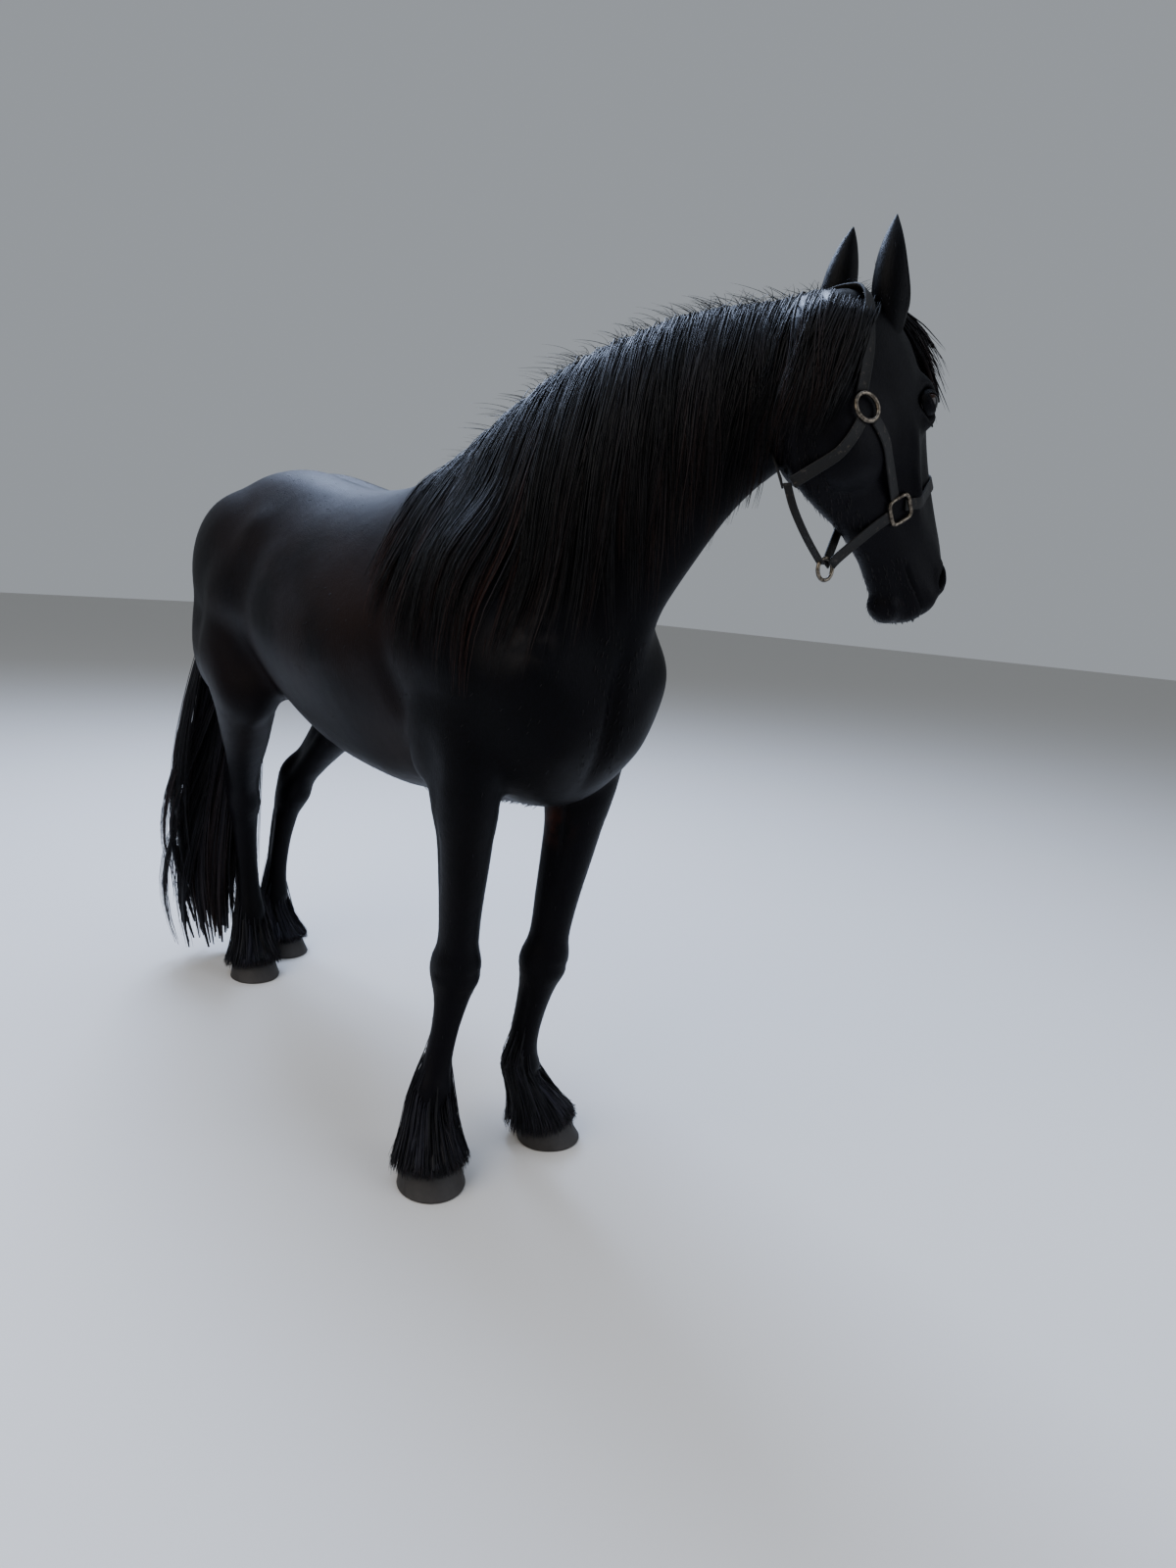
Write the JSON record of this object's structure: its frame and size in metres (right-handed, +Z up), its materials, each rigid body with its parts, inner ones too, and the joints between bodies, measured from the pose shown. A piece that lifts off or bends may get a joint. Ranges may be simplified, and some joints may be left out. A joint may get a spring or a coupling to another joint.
{
  "type": "friesian horse",
  "caption": "Black friesian horse standing with its head turned left, with long mane and tail, feathered legs and a halter.",
  "frame": {"origin": "on the ground under the middle of the horse's bounding box, level with the soles", "axes": "+X towards the front of the body, +Y to the horse's left, +Z up"},
  "size_m": [2.2968, 0.835, 1.9725],
  "materials": {
    "coat": "short black coat with a soft sheen",
    "long_hair": "long black hair in locks",
    "hoof_horn": "dark grey-brown horn with faint growth rings",
    "eye": "wet dark brown",
    "halter_strap": "worn dark strap with stitched edges",
    "halter_metal": "dull worn steel"
  },
  "bodies": {
    "root": {"torso": "coat", "neck": "coat", "head": "coat", "ear_right": "coat", "eye_right": "eye", "ear_left": "coat", "eye_left": "eye", "leg_right_fore": "coat", "hoof_right_fore": "hoof_horn", "leg_left_fore": "coat", "hoof_left_fore": "hoof_horn", "leg_right_hind": "coat", "hoof_right_hind": "hoof_horn", "leg_left_hind": "coat", "hoof_left_hind": "hoof_horn", "tail": "long_hair", "halter_chin_ring": "halter_metal", "halter_cheek_ring_right": "halter_metal", "halter_nose_ring_right": "halter_metal", "halter_crown_right": "halter_strap", "halter_cheek_right": "halter_strap", "halter_nose_right": "halter_strap", "halter_chin_right": "halter_strap", "halter_throat_right": "halter_strap", "halter_cheek_ring_left": "halter_metal", "halter_nose_ring_left": "halter_metal", "halter_crown_left": "halter_strap", "halter_cheek_left": "halter_strap", "halter_nose_left": "halter_strap", "halter_chin_left": "halter_strap", "halter_throat_left": "halter_strap", "halter_jaw": "halter_strap"}
  },
  "joints": []
}
